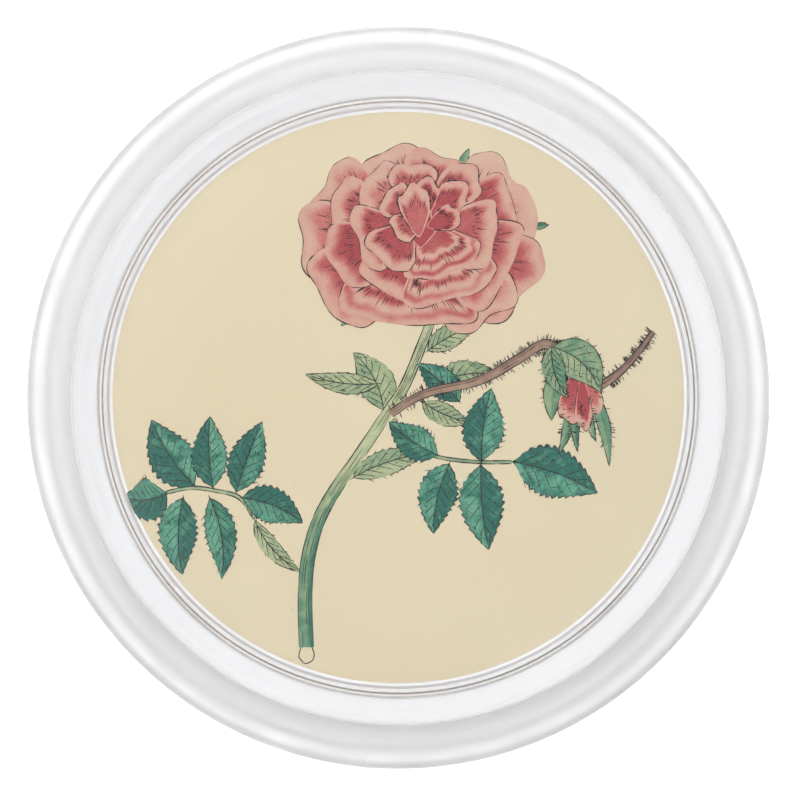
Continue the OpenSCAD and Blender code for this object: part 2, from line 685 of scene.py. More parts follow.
@dataclass(frozen=True)
class StudioFloor(Finish):
    """Matt sweep with a painted glow that lights the jar from below, brightest under the jar and a little
    stronger behind it.
    """

    name: str = "white_sweep"
    white: Colour = (0.25, 0.25, 0.25)
    # Colours of the painted glow: under and behind the jar, in front of it, and far off.
    near_glow_behind: Colour = (1.0, 1.0, 1.0)
    near_glow_in_front: Colour = (0.78, 0.78, 0.785)
    far: Colour = (0.22, 0.22, 0.225)
    glow: float = 1.17
    front: Point3 = (0.2, -0.97, 0.0)

    def look(self, bench: Bench) -> dict[str, object]:
        """What the shader gets.

        Args:
            bench: The node tree that it is made on.

        Returns:
            Socket values and links, by socket name.
        """
        lean = bench.along(bench.where(), self.front)
        reach = bench.node("ShaderNodeVectorMath", {"operation": "LENGTH"}, {0: bench.where()}, out="Value")
        # Painted glow, not a lamp: brightest under and behind the jar, dimmer in front, fading to the far
        # colour further out.
        near = bench.mix(self.near_glow_behind, self.near_glow_in_front, lean.between(-0.06, 0.07))
        return {
            "Base Color": bench.mix(self.white, toned(self.white, 0.985), bench.grain(0.2)),
            "Roughness": 0.9,
            "Specular IOR Level": 0.1,
            "Emission Color": bench.mix(near, self.far, reach.between(0.09, 0.26)),
            "Emission Strength": self.glow,
        }


# ---------------------------------------------------------------- the drawing

@dataclass
class Pen:
    """Draws inked lines as thin flat ribbons, in millimetres."""

    height: float
    mesh: Mesh = field(default_factory=Mesh)
    dice: random.Random = field(default_factory=lambda: random.Random(7))

    def line(self, points: Sequence[Point], width: float = 0.15, layer: int = 0,
             taper: float = 0.25) -> None:
        """Draws one stroke.

        Args:
            points: The stroke's middle line, in millimetres.
            width: Its width, in millimetres.
            layer: The layer of the drawing that it lies on.
            taper: Width left at its ends, as a share of the whole.
        """
        z = self.height + layer * Drawing.STEP
        last = len(points) - 1
        left, right = [], []
        for k, (x, y) in enumerate(points):
            a, b = points[max(k - 1, 0)], points[min(k + 1, last)]
            run = math.hypot(b[0] - a[0], b[1] - a[1]) or 1.0
            swell = taper + (1 - taper) * max(math.sin(math.pi * k / last), 0.0) ** 0.5
            out = 0.5 * width * swell * (1 + 0.25 * self.dice.uniform(-1, 1))
            ox, oy = -(b[1] - a[1]) / run * out, (b[0] - a[0]) / run * out
            left.append(self.mesh.point((x - ox) * MM, (y - oy) * MM, z))
            right.append(self.mesh.point((x + ox) * MM, (y + oy) * MM, z))
        self.mesh.grid([left, right])

    def broken(self, points: Sequence[Point], width: float = 0.15, layer: int = 0, dash: int = 7,
               gap: float = 0.35) -> None:
        """Draws a line that fades out in places.

        Args:
            points: The whole line, in millimetres.
            width: Its width, in millimetres.
            layer: The layer of the drawing that it lies on.
            dash: Number of points in a usual dash.
            gap: Chance that a dash is left out.
        """
        start = 0
        while start < len(points) - 2:
            end = min(start + self.dice.randint(dash // 2 + 1, dash * 2), len(points) - 1)
            if self.dice.random() > gap:
                self.line(points[start:end + 1], width * self.dice.uniform(0.7, 1.2), layer)
            start = end

    def hatch(self, start: Point, end: Point, width: float = 0.1, layer: int = 0) -> None:
        """Draws a short straight stroke that thins towards both ends."""
        self.line([part_way(start, end, i / 4) for i in range(5)], width, layer, 0.1)


@dataclass(frozen=True)
class Petal:
    """A petal of the rose: a rounded fan from its foot to its rim, in millimetres."""

    foot: Point
    tip: Point
    width: float
    tone: float = 0.6
    bands: int = 1
    dent: float = 0.05
    outline: float = 0.17
    strokes: float = 3.2

    def edge(self, turn: float) -> Point:
        """A point of the outline.

        Args:
            turn: Where it is, from -pi to pi, with 0 at the tip.

        Returns:
            The point.
        """
        length = math.dist(self.foot, self.tip)
        ax, ay = (self.tip[0] - self.foot[0]) / length, (self.tip[1] - self.foot[1]) / length
        seed = self.foot[0] * 1.7 + self.tip[1] * 2.3
        ripple = 1 + 0.025 * math.sin(4 * turn + seed) + 0.018 * math.sin(7 * turn + 2 * seed)
        along = length * ((1 + math.cos(turn)) / 2) ** 0.8 * ripple
        along -= self.dent * length * math.exp(-(turn / 0.35) ** 2)
        across = self.width / 2 * math.sin(turn) * (0.84 + 0.34 * math.cos(turn)) * ripple
        return self.foot[0] + ax * along - ay * across, self.foot[1] + ay * along + ax * across

    def inside(self, share: float, turn: float) -> Point:
        """The point that lies share of the way from near the foot to the outline."""
        return part_way(part_way(self.foot, self.tip, 0.12), self.edge(turn), share)

    def depth(self, share: float, turn: float) -> float:
        """How full the wash is: deep under the next petal, pale along the rim.

        Args:
            share: How far out the place is, from 0 near the foot to 1 on the outline.
            turn: Its place round the outline.

        Returns:
            The fullness, from 0 to about 1.
        """
        share += 0.03 * math.sin(5 * turn + self.width) + 0.02 * math.sin(11 * turn + self.tone)
        if self.bands == 2:
            fuller = 0.75 + 0.25 * math.sin(1.7 * turn + self.width)
            deep = 0.9 - smooth_step(0.40, 0.50, share) + math.exp(-((share - 0.64) / 0.07) ** 2)
            deep += fuller * math.exp(-((share - 0.87) / 0.06) ** 2)
        else:
            pale = 0.72 if math.dist(self.foot, self.tip) > 11 else 0.64
            deep = 1 - smooth_step(pale, pale + 0.24, share)
        return self.tone * (0.26 + 0.8 * deep) + 0.12 * smooth_step(0.97, 1.0, share)

    def paint(self, mesh: Mesh, pen: Pen, layer: int) -> None:
        """Paints the petal on layer and inks it on the layer above.

        Args:
            mesh: The wash that it is painted in.
            pen: The pen that inks it.
            layer: Its layer in the drawing.
        """
        z = pen.height + layer * Drawing.STEP
        shares = [0.0, 0.2, 0.35, *(0.45 + 0.025 * k for k in range(23))]
        turns = [-math.pi + FULL_TURN * i / 80 for i in range(80)]
        rows = []
        for share in shares:
            spots = turns if share else turns[:1]
            rows.append([
                mesh.point(*(c * MM for c in self.inside(share, t)), z, depth=self.depth(share, t))
                for t in spots])
        mesh.grid(rows, joined=True)
        reach = [2.5 * (i / 40 - 1) for i in range(81)]
        if self.outline:
            pen.broken([self.edge(t) for t in reach], self.outline, layer + 1, 7, 0.3)
        dice = pen.dice
        count = int(self.width * self.strokes)
        for k in range(count):
            t = -1.35 + 2.7 * (k + dice.random()) / count
            if dice.random() < 0.30 + 0.30 * math.sin(3.1 * t + 2 * self.width):
                continue
            low = 0.55 + dice.uniform(-0.04, 0.10)
            high = low + dice.uniform(0.06, 0.22)
            end = self.inside(high, t + dice.uniform(-0.02, 0.02))
            pen.hatch(self.inside(low, t), end, 0.12, layer + 1)


@dataclass(frozen=True)
class Leaf:
    """A leaf with a midrib, side veins and a saw-toothed edge, in millimetres."""

    foot: Point
    tip: Point
    width: float
    tone: float = 0.75
    bow: float = 0.0
    teeth: int = 11
    bite: float = 0.2
    outline: float = 0.17
    veins: bool = True

    def spine(self, share: float) -> Point:
        """A point of the midrib.

        Args:
            share: Its place, from 0 at the foot to 1 at the tip.

        Returns:
            The point.
        """
        dx, dy = self.tip[0] - self.foot[0], self.tip[1] - self.foot[1]
        side = self.bow * 4 * share * (1 - share)
        return self.foot[0] + dx * share - dy * side, self.foot[1] + dy * share + dx * side

    def spot(self, share: float, across: float) -> Point:
        """A point of the leaf.

        Args:
            share: Its place along the midrib, from 0 to 1.
            across: Its place across, from -1 to 1 on the two edges.

        Returns:
            The point.
        """
        x, y = self.spine(share)
        bx, by = self.spine(min(share + 0.02, 1.0))
        ax, ay = self.spine(max(share - 0.02, 0.0))
        run = math.hypot(bx - ax, by - ay)
        saw = (share * self.teeth + 0.35 * (across > 0)) % 1.0 if self.teeth else 0.0
        half = self.width / 2 * math.sin(math.pi * min(share, 1.0) ** 0.78) ** 0.95
        half *= 1 + self.bite * (0.5 - saw) * abs(across) ** 3
        lean = 0.05 * (1 - share) * abs(across) * math.dist(self.foot, self.tip)
        out = half * across
        return (x - (by - ay) / run * out + (bx - ax) / run * lean,
                y + (bx - ax) / run * out + (by - ay) / run * lean)

    def paint(self, mesh: Mesh, pen: Pen, layer: int) -> None:
        """Paints the leaf on layer and inks it on the layer above.

        Args:
            mesh: The wash that it is painted in.
            pen: The pen that inks it.
            layer: Its layer in the drawing.
        """
        z = pen.height + layer * Drawing.STEP
        count = max(self.teeth, 6) * 5
        columns = [-1.0, -0.8, -0.5, -0.2, -0.06, 0.0, 0.06, 0.2, 0.5, 0.8, 1.0]
        rows = []
        for i in range(count + 1):
            share = i / count
            row = []
            for c in columns:
                x, y = self.spot(share, c)
                veins = max(math.cos(7 * FULL_TURN * (share - 0.16 * abs(c))), 0) ** 8
                rib = math.exp(-(c / 0.12) ** 2) + 0.7 * veins
                full = self.tone * (0.8 + 0.35 * (c > 0) + 0.25 * rib + 0.2 * abs(c) ** 3)
                row.append(mesh.point(x * MM, y * MM, z, depth=full))
            rows.append(row)
        mesh.grid(rows)
        shares = [i / count for i in range(count + 1)]
        if self.outline:
            for side in (-1, 1):
                pen.broken([self.spot(s, side) for s in shares], self.outline, layer + 1, 6, 0.12)
        if self.veins:
            self._veins(pen, layer)

    def _veins(self, pen: Pen, layer: int) -> None:
        """Inks the midrib, the side veins, short strokes between them and bristles on the teeth.

        Args:
            pen: The pen that inks them.
            layer: The leaf's layer in the drawing.
        """
        pen.line([self.spine(i / 48) for i in range(46)], 0.17, layer + 1, 0.5)
        dice = pen.dice
        for k in range(6):
            start = 0.1 + 0.125 * k
            for side in (-1, 1):
                long = dice.uniform(0.7, 0.92)
                vein = [self.spot(start + 0.16 * t / 5, side * long * t / 5) for t in range(6)]
                pen.line(vein, 0.12, layer + 1, 0.3)
        for _ in range(int(self.width * 9)):
            s, c = dice.uniform(0.08, 0.9), dice.uniform(-0.9, 0.9)
            pen.hatch(self.spot(s, c), self.spot(min(s + 0.05, 1.0), c * 0.84), 0.09, layer + 1)
        for k in range(2 * self.teeth):
            s, side = (k // 2 + 0.6) / self.teeth, 1 - 2 * (k % 2)
            if 0.12 < s < 0.97 and dice.random() < 0.7:
                reach = 1 + 0.7 / (self.width * math.sin(math.pi * s) + 0.5)
                end = self.spot(min(s + 0.05, 1.0), side * reach)
                pen.hatch(self.spot(s, side * 0.96), end, 0.11, layer + 1)


@dataclass(frozen=True)
class Stem:
    """A stalk along a smooth curve, in millimetres."""

    points: tuple[Point, ...]
    wide: tuple[float, float]
    tone: tuple[float, float] = (0.3, 0.9)
    hairs: float = 0.0
    lines: int = 2

    def paint(self, mesh: Mesh, pen: Pen, layer: int) -> None:
        """Paints the stalk on layer and inks it on the layer above.

        Args:
            mesh: The wash that it is painted in.
            pen: The pen that inks it.
            layer: Its layer in the drawing.
        """
        z = pen.height + layer * Drawing.STEP
        run = curve_through(self.points, 10)
        last = len(run) - 1
        columns = [-1.0, -0.5, 0.0, 0.5, 1.0]
        rows, sides = [], {c: [] for c in (-1, 1)}
        inner = {k: [] for k in range(self.lines)}
        for i, (x, y) in enumerate(run):
            a, b = run[max(i - 1, 0)], run[min(i + 1, last)]
            length = math.hypot(b[0] - a[0], b[1] - a[1])
            nx, ny = -(b[1] - a[1]) / length, (b[0] - a[0]) / length
            share = i / last
            half = 0.5 * (self.wide[0] + (self.wide[1] - self.wide[0]) * share)
            tone = self.tone[0] + (self.tone[1] - self.tone[0]) * smooth_step(0.3, 0.8, share)
            rows.append([
                mesh.point((x + nx * half * c) * MM, (y + ny * half * c) * MM, z,
                           depth=tone * (0.7 + 0.55 * max(c, 0)) + 0.1 * abs(c))
                for c in columns])
            for c in sides:
                sides[c].append((x + nx * half * c, y + ny * half * c))
            for k in inner:
                c = (k + 1) / (self.lines + 1) * 1.6 - 0.8
                inner[k].append((x + nx * half * c, y + ny * half * c))
        mesh.grid(rows)
        for side in sides.values():
            pen.broken(side, 0.18, layer + 1, 9, 0.06)
        for thread in inner.values():
            pen.broken(thread, 0.11, layer + 1, 5, 0.4)
        self._bristle(run, pen, layer)

    def _bristle(self, run: Sequence[Point], pen: Pen, layer: int) -> None:
        """Inks fine hairs that stand out from both sides.

        Args:
            run: The stalk's middle line.
            pen: The pen that inks them.
            layer: The stalk's layer in the drawing.
        """
        dice = pen.dice
        for _ in range(int(self.hairs * len(run))):
            k = dice.randrange(1, len(run) - 1)
            turn = math.atan2(run[k + 1][1] - run[k - 1][1], run[k + 1][0] - run[k - 1][0])
            turn += dice.choice((-1, 1)) * dice.uniform(1.2, 1.9)
            start = (self.wide[0] + (self.wide[1] - self.wide[0]) * k / len(run)) * 0.45
            reach = start + dice.uniform(0.5, 1.1)
            x, y = run[k]
            pen.hatch((x + math.cos(turn) * start, y + math.sin(turn) * start),
                      (x + math.cos(turn) * reach, y + math.sin(turn) * reach), 0.12, layer + 1)


class Drawing:
    """A rose sprig, drawn and painted in layers over the paper. All places are in millimetres."""

    STEP = 0.0018 * MM

    BLOOM = (
        Petal((1.5, 29.0), (-2.0, 38.1), 13.0, 0.42, dent=0.03),
        Petal((4.0, 29.0), (6.6, 37.7), 11.5, 0.9, dent=0.04, outline=0.11),
        Petal((8.0, 26.0), (18.0, 34.8), 14.0, 0.12, outline=0.09, strokes=1.2),
        Petal((-1.5, 27.0), (-12.0, 33.3), 12.5, 0.55, outline=0.11),
        Petal((9.0, 26.0), (21.6, 26.4), 15.0, 0.30, outline=0.0, strokes=2.0),
        Petal((-1.0, 26.0), (-15.4, 22.6), 15.0, 0.62),
        Petal((8.0, 24.0), (20.4, 15.8), 16.5, 0.85),
        Petal((0.0, 24.0), (-11.4, 13.9), 15.5, 0.85),
        Petal((6.0, 24.0), (14.8, 11.5), 14.0, 0.5),
        Petal((2.2, 23.5), (1.0, 10.9), 24.0, 1.0, bands=2, dent=0.02),
        Petal((7.0, 27.0), (18.4, 29.2), 13.0, 0.9, outline=0.11),
        Petal((-0.5, 27.5), (-10.6, 28.4), 13.0, 0.8),
        Petal((-0.5, 25.5), (-10.4, 20.2), 12.0, 0.95),
        Petal((6.5, 24.5), (17.2, 18.6), 17.0, 0.85),
        Petal((3.0, 29.0), (-5.2, 33.6), 9.5, 0.6, outline=0.11),
        Petal((5.0, 28.5), (11.6, 34.8), 7.5, 0.85, dent=-0.06),
        Petal((3.0, 24.0), (-2.4, 15.8), 12.5, 0.95),
        Petal((5.4, 24.5), (9.0, 15.0), 17.0, 0.9, bands=2, dent=0.02),
        Petal((6.0, 26.5), (15.2, 24.2), 12.5, 0.8),
        Petal((1.0, 26.5), (-6.6, 23.6), 12.0, 0.9),
        Petal((2.6, 29.0), (2.0, 36.0), 8.5, 0.8, dent=0.0),
        Petal((4.8, 26.5), (7.6, 19.0), 14.0, 0.95, bands=2, dent=0.02),
        Petal((1.8, 26.8), (-2.6, 20.6), 9.5, 0.9),
        Petal((3.4, 23.0), (3.6, 29.5), 7.0, 1.3, outline=0.0),
        Petal((5.0, 27.6), (9.8, 32.6), 5.2, 0.95, dent=-0.1, outline=0.2),
        Petal((2.6, 28.0), (-2.0, 31.4), 6.6, 0.85, outline=0.2),
        Petal((4.0, 27.4), (4.4, 33.4), 4.6, 1.3, dent=-0.1, outline=0.2, strokes=9.0),
        Petal((4.4, 26.2), (9.2, 28.2), 4.4, 1.3, dent=-0.05, outline=0.2, strokes=9.0),
        Petal((3.4, 28.2), (-0.6, 25.0), 5.4, 0.85, outline=0.2),
        Petal((3.2, 24.6), (2.2, 32.0), 5.6, 0.75, dent=-0.14, outline=0.22),
    )
    SEPALS = (
        Leaf((9.4, 35.2), (10.9, 38.3), 1.1, 0.55, teeth=0, veins=False),
        Leaf((20.6, 26.2), (23.2, 26.6), 1.0, 0.75, teeth=0, veins=False),
        Leaf((-6.6, 13.2), (-8.8, 11.0), 1.2, 0.5, teeth=0, veins=False),
    )
    GREEN_LEAVES = (
        Leaf((4.2, 6.9), (12.3, 11.2), 3.6, 0.35, 0.05, 9, 0.1),
        Leaf((-2.2, -2.4), (-6.9, 6.9), 5.6, 0.35, -0.1, 7, 0.08),
        Leaf((-2.6, 2.2), (-14.3, 3.6), 3.2, 0.3, 0.06, 7, 0.08),
        Leaf((5.2, 1.6), (15.6, 3.4), 4.4, 0.35, 0.1, 9, 0.1),
        Leaf((3.4, -0.4), (11.2, -3.9), 3.4, 0.35, -0.06, 7, 0.1),
        Leaf((-7.4, -12.6), (4.9, -8.6), 3.9, 0.35, 0.06, 11, 0.1),
        Leaf((-22.2, -18.4), (-14.6, -26.9), 2.7, 0.28, -0.1, 6, 0.08),
    )
    TEAL_LEAVES = (
        Leaf((9.6, -0.9), (2.9, 5.2), 4.4, 0.9, -0.04),
        Leaf((6.4, -9.0), (-1.4, -3.7), 5.0, 0.8, 0.05),
        Leaf((12.8, -10.2), (14.3, 1.4), 6.2, 0.8, 0.04),
        Leaf((8.0, -9.8), (5.4, -20.9), 5.8, 0.8, -0.06),
        Leaf((12.7, -9.9), (13.9, -23.4), 6.6, 0.85, -0.03),
        Leaf((17.2, -9.8), (30.6, -14.7), 7.6, 0.85, 0.05, 13),
        Leaf((-31.0, -13.9), (-37.9, -3.4), 6.8, 0.85, 0.06),
        Leaf((-28.4, -14.2), (-28.9, -2.9), 5.4, 0.8, 0.04),
        Leaf((-25.0, -14.9), (-20.9, -3.7), 5.4, 0.8, 0.02),
        Leaf((-35.4, -14.6), (-42.4, -15.2), 6.4, 0.85, 0.12, 8),
        Leaf((-33.0, -15.0), (-33.2, -27.2), 5.8, 0.8, -0.06),
        Leaf((-29.2, -15.0), (-27.2, -28.0), 4.6, 0.75, 0.08),
        Leaf((-24.4, -15.4), (-14.7, -19.3), 5.4, 0.85, 0.08),
    )
    STEMS = (
        Stem(((4.9, 11.4), (1.2, 2.2), (-1.6, -2.2), (-6.7, -9.9), (-9.2, -13.4), (-12.2, -18.8),
              (-13.9, -25.0), (-14.3, -31.0), (-14.1, -38.4)), (1.4, 2.3), (0.2, 0.85), lines=4),
        Stem(((-36.0, -14.7), (-32.0, -13.9), (-28.2, -14.3), (-24.4, -15.4), (-22.0, -18.6)),
             (0.5, 0.6), (0.4, 0.4), lines=0),
        Stem(((-0.9, -3.3), (2.8, -7.4), (6.4, -9.2), (12.5, -9.9), (17.4, -9.9)), (0.55, 0.5), (0.5, 0.6),
             lines=0),
    )
    SIDE_STEM = Stem(((-1.2, -2.5), (4.1, 0.6), (12.4, 2.6), (18.4, 5.9), (22.2, 8.2), (24.6, 7.4)),
                     (1.2, 1.5), (0.36, 0.42), 3.5)
    LONG_SEPAL = Stem(((27.4, 3.2), (30.2, 1.7), (33.4, 3.4), (36.6, 6.6), (39.2, 10.2)), (1.6, 0.7),
                      (0.4, 0.7), 4.0, lines=1)
    CALYX = (
        Leaf((27.0, 2.0), (24.6, -8.8), 1.8, 0.6, 0.05, 0, veins=False),
        Leaf((27.6, 0.0), (27.6, -8.4), 1.3, 0.7, -0.05, 0, veins=False),
        Leaf((29.2, 2.0), (32.4, -10.6), 1.8, 0.6, 0.06, 0, veins=False),
        Leaf((28.6, 0.0), (30.4, -6.8), 1.3, 0.6, -0.03, 0, veins=False),
        Leaf((26.0, 5.0), (23.6, -3.6), 3.0, 0.55, -0.1, 0, veins=False),
    )
    BUD = (
        Petal((27.0, 3.8), (26.4, -3.6), 4.6, 0.9, dent=-0.05, strokes=1.0),
        Petal((29.0, 3.6), (30.4, -2.2), 3.4, 0.7, dent=-0.05, strokes=1.0),
        Petal((28.2, 3.4), (28.6, -4.6), 3.0, 1.1, dent=-0.08, strokes=1.0),
    )
    CAP = (
        Leaf((23.4, 7.8), (31.0, 0.8), 5.4, 0.45, 0.14, 0),
        Leaf((23.6, 8.2), (26.0, 0.0), 3.2, 0.55, -0.1, 0),
    )

    CUT = Petal((-14.1, -37.0), (-14.1, -40.8), 2.6, dent=0.0)

    def __init__(self, height: float) -> None:
        """A drawing whose lowest layer lies at height."""
        self.pen = Pen(height)
        self.washes = {name: Mesh() for name in ("petals", "green", "teal", "brown", "white")}

    def draw(self) -> None:
        """Paints and inks every part, the lowest first."""
        green, teal, brown, petals = (self.washes[n] for n in ("green", "teal", "brown", "petals"))
        # A lavender-white ring round the paper: partly a white margin, partly a painted highlight for the
        # bright ring of light along the lid's dish wall.
        self._ring(self.washes["white"], (43.95, 44.6, 45.28), 0.5, 0.5)
        # Brown ring on the paper's cut edge: painted shadow of the edge, deeper towards the lower right,
        # away from the light.
        self._ring(brown, (45.3, 45.5, 45.72), 0.35, 0.9)
        for stem in self.STEMS[1:]:
            stem.paint(green, self.pen, 2)
        for k, leaf in enumerate((*self.GREEN_LEAVES, *self.SEPALS)):
            leaf.paint(green, self.pen, 4 + 2 * (k % 4))
        self.STEMS[0].paint(green, self.pen, 12)
        self.pen.line([self.CUT.edge(2.6 * (i / 16 - 1)) for i in range(33)], 0.17, 3, 0.8)
        for k, leaf in enumerate(self.TEAL_LEAVES):
            leaf.paint(teal, self.pen, 14 + 2 * (k % 3))
        self.SIDE_STEM.paint(brown, self.pen, 20)
        self.LONG_SEPAL.paint(brown, self.pen, 20)
        for k, sepal in enumerate(self.CALYX):
            sepal.paint(green, self.pen, 22 + 2 * k)
            self._hairs(sepal)
        for k, petal in enumerate(self.BUD):
            petal.paint(petals, self.pen, 32 + 2 * k)
        for k, sepal in enumerate(self.CAP):
            sepal.paint(green, self.pen, 38 + 2 * k)
            self._hairs(sepal)
        for k, petal in enumerate(self.BLOOM):
            petal.paint(petals, self.pen, 14 + 2 * k)
        self._specks()

    def _ring(self, mesh: Mesh, radii: Sequence[float], pale: float, full: float) -> None:
        """Paints a ring near the paper's edge, whose wash can deepen from the upper left to the lower right
        as painted shade.

        Args:
            mesh: The wash that it is painted in.
            radii: The ring's circles, in millimetres.
            pale: Fullness of the wash at the upper left, on the lit side.
            full: Fullness at the lower right, in painted shade.
        """
        rows = []
        for radius in radii:
            rows.append([mesh.point(radius * MM * math.cos(t), radius * MM * math.sin(t), self.pen.height,
                                    depth=pale + (full - pale) * (1 + math.cos(t + math.pi / 4)) / 2)
                         for t in even_turns(360)])
        mesh.grid(rows, joined=True)

    def _hairs(self, sepal: Leaf) -> None:
        """Inks short hairs out from a sepal's edges.

        Args:
            sepal: The sepal.
        """
        dice = self.pen.dice
        for _ in range(30):
            share, side = dice.uniform(0.05, 0.98), dice.choice((-1, 1))
            start = sepal.spot(share, side)
            end = sepal.spot(min(share + 0.02, 1.0), side * (1 + 1.2 / sepal.width))
            turn = dice.uniform(0.3, 0.8)
            self.pen.hatch(start, (start[0] + (end[0] - start[0]) * turn + dice.uniform(-0.1, 0.1),
                                   start[1] + (end[1] - start[1]) * turn), 0.12, 43)

    def _specks(self) -> None:
        """Scatters a few dots of ink where the plate wasn't wiped clean."""
        dice = random.Random(21)
        for _ in range(26):
            reach, turn = 44 * math.sqrt(dice.random()), dice.uniform(0, FULL_TURN)
            x, y = reach * math.cos(turn), reach * math.sin(turn)
            self.pen.hatch((x, y), (x + dice.uniform(0.08, 0.16), y + 0.05), dice.uniform(0.08, 0.16), 1)


# ---------------------------------------------------------------- the jar's pieces

@dataclass
class JarGlass:
    """The pressed jar: solid base, drafted side, rolled rim, gallery for the lid, smooth inside."""

    outer: float = 57.0 * MM
    side: float = 55.0 * MM
    foot: float = 53.6 * MM
    base: float = 1.6 * MM
    floor: float = 9.6 * MM
    corner: float = 7.0 * MM
    inner_fillet: float = 6.0 * MM
    floor_r: float = 45.51 * MM
    mouth: float = 47.75 * MM
    land: float = 5.0 * MM
    ledge: float = 63.4 * MM
    gallery: float = 50.35 * MM
    bead_rise: float = 0.9 * MM
    cove: float = 1.5 * MM
    clear_below: float = 36.0 * MM
    seam_turns: tuple[float, float] = (math.radians(85), math.radians(265))
    seam_rise: float = 0.07 * MM
    seam_width: float = 0.35 * MM
    seat_satin: float = 0.35
    rim_satin: float = 0.55

    def profile(self) -> list[Point]:
        """Half section of the glass.

        Returns:
            Its points, from the underside's centre round to the floor's centre.
        """
        bead = (self.outer - self.gallery) / 2
        bead_x, bead_z = self.outer - bead, self.ledge + self.bead_rise
        cove_x = self.side + self.cove
        drop = math.sqrt((bead + self.cove) ** 2 - (cove_x - bead_x) ** 2)
        turn = math.degrees(math.atan2(drop, cove_x - bead_x))
        lip = 0.5 * MM
        outer_foot = arc((self.foot - self.corner, self.base + self.corner), self.corner, -90, -2, 20)
        inner_foot = arc((self.floor_r - self.inner_fillet, self.floor + self.inner_fillet),
                         self.inner_fillet, 2, -90, 20)
        inner_top = (self.mouth, self.ledge - self.land)
        return [
            (0.0, self.base), (0.5 * self.foot, self.base),
            *outer_foot, at_height(outer_foot[-1], (self.side, bead_z - drop), self.clear_below),
            *arc((cove_x, bead_z - drop), self.cove, 180, 180 - turn, 8),
            *arc((bead_x, bead_z), bead, -turn, 180, 40),
            (self.gallery, self.ledge),
            *arc((self.mouth + lip, self.ledge - lip), lip, 90, 180, 6),
            inner_top, at_height(inner_top, inner_foot[0], self.clear_below), *inner_foot,
            (0.5 * self.floor_r, self.floor), (0.0, self.floor),
        ]

    def ground(self, spot: Point) -> float:
        """How rough the glass is: satin at the rim, fading to clear halfway down.

        Args:
            spot: A point of the section.

        Returns:
            The roughness there.
        """
        if spot[1] < self.clear_below + 0.1 * MM:
            return 0.0
        return self.seat_satin if spot[0] <= self.gallery + 0.1 * MM else self.rim_satin

    def turns(self) -> list[float]:
        """Angles of the section's copies: even ones, and finer ones across the mould seams.

        Returns:
            The angles, in order.
        """
        fine = [seam + self.seam_width / self.outer * k / 2
                for seam in self.seam_turns for k in range(-5, 6)]
        clear = 3 * self.seam_width / self.outer
        even = [t for t in even_turns(240) if all(abs(t - seam) > clear for seam in self.seam_turns)]
        return sorted([*even, *fine])

    def build(self) -> bpy.types.Object:
        """Builds and dresses the jar.

        Returns:
            The jar's object.
        """
        profile = self.profile()
        bead_z = self.ledge + self.bead_rise
        outside = next(k for k, (r, z) in enumerate(profile) if z >= bead_z and r < self.outer)

        def seam(turn: float, k: int) -> float:
            """How far the mould seam stands out.

            Args:
                turn: The angle.
                k: The place in the profile. The inside and the underside have no seam.

            Returns:
                The seam's height there.
            """
            off = min(abs(turn - at) for at in self.seam_turns) * self.outer
            return self.seam_rise * math.exp(-(off / self.seam_width) ** 2) if 2 < k < outside + 12 else 0.0

        made = turned(profile, self.turns(), swell=seam, ground=self.ground).made("pressed_jar", crease=30)
        return place(made, ClearGlass("jar_crystal").material(), "jar", ["jar_glass"])


@dataclass
class BumperFeet:
    """Four clear silicone bumpers stuck under the base."""

    count: int = 4
    radius: float = 5.0 * MM
    height: float = 1.6 * MM
    edge: float = 0.9 * MM
    ring: float = 38.0 * MM

    def build(self) -> None:
        """Builds and dresses the bumpers."""
        finish = Silicone("clear_silicone", (0.93, 0.93, 0.92), clear=0.75).material()
        profile = [(0.0, 0.0), *arc((self.radius - self.edge, self.edge), self.edge, -90, 0, 10),
                   (self.radius, self.height), (0.0, self.height)]
        for k in range(self.count):
            foot = turned(profile, even_turns(72)).made(f"bumper_{k + 1}", crease=50)
            turn = math.radians(45 + 360 / self.count * k)
            for vertex in foot.data.vertices:
                vertex.co += Vector((self.ring * math.cos(turn), self.ring * math.sin(turn), 0))
            place(foot, finish, "jar", [f"foot_pad_{k + 1}"])


@dataclass
class LidGlass:
    """The thick lid: a raised rim round a dished centre, and a boss that plugs the mouth."""

    radius: float = 49.9 * MM
    boss: float = 46.2 * MM
    dish: float = 43.9 * MM
    depth: float = 1.8 * MM
    fillet: float = 1.0 * MM
    lip: float = 0.25 * MM
    edge: float = 1.8 * MM
    chamfer: float = 0.4 * MM
    flange: float = 64.24 * MM
    seat_satin: float = 0.35
    wall_satin: float = 0.3
    rim_satin: float = 0.16

    def ground(self, spot: Point) -> float:
        """How rough the glass is: ground at the seat, satin on the dish's wall and the rim.

        Args:
            spot: A point of the section.

        Returns:
            The roughness there.
        """
        r, z = spot
        if r > self.radius - self.edge - 0.1 * MM or (r >= self.boss and z < self.flange + self.chamfer):
            return self.seat_satin
        if r > self.dish + self.fillet:
            return self.rim_satin
        return self.wall_satin if r > self.dish + 0.1 * MM and z > self.flange else 0.0

    def build(self) -> bpy.types.Object:
        """Builds and dresses the lid's glass.

        Returns:
            The lid's object.
        """
        low, high = (corner.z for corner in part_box("lid_glass"))
        dish = high - self.depth
        wall = self.dish + self.fillet
        profile = [
            (0.0, low), (0.5 * self.boss, low),
            *arc((self.boss - self.chamfer, low + self.chamfer), self.chamfer, -90, 0, 5),
            (self.boss, self.flange),
            *arc((self.radius - self.chamfer, self.flange + self.chamfer), self.chamfer, -90, 0, 5),
            *arc((self.radius - self.edge, high - self.edge), self.edge, 0, 90, 14),
            *arc((wall + self.lip, high - self.lip), self.lip, 90, 180, 6),
            *arc((self.dish, dish + self.fillet), self.fillet, 0, -90, 16),
            (0.5 * self.dish, dish), (0.0, dish),
        ]
        made = turned(profile, even_turns(256), ground=self.ground).made("dished_lid", crease=30)
        return place(made, ClearGlass("lid_crystal").material(), "lid", ["lid_glass"])


